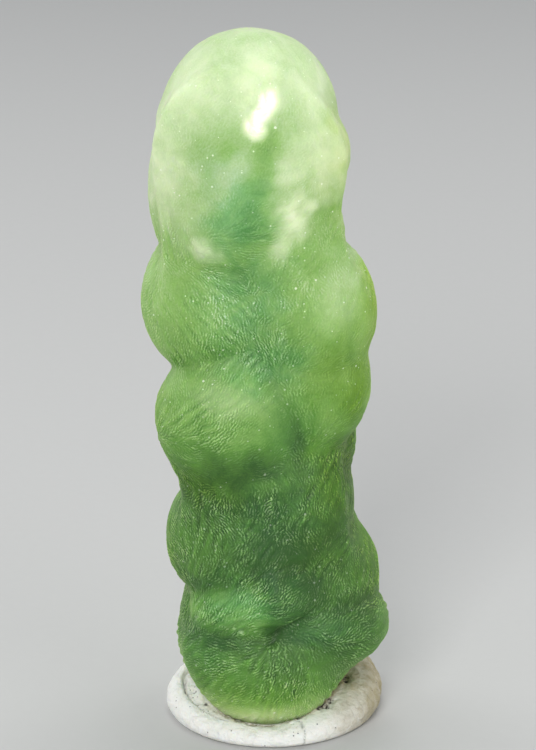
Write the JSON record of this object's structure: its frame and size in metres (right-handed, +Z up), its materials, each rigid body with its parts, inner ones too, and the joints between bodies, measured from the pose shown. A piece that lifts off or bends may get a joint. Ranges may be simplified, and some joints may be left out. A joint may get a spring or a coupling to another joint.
{
  "type": "botryoidal prehnite",
  "caption": "Finger-shaped growth of translucent green botryoidal prehnite, standing upright in a squashed pad of white putty.",
  "frame": {"origin": "middle of the specimen's box, on the flat underside of the putty", "axes": "+Z up along the finger, -Y towards the side that shows, +X to its right"},
  "size_m": [0.0274, 0.024, 0.0789],
  "materials": {
    "prehnite": "translucent, dull glassy skin of fine combed crystal ends",
    "putty": "matte, kneaded, a little dirty"
  },
  "bodies": {
    "root": {"prehnite": "prehnite", "putty": "putty"}
  },
  "joints": []
}
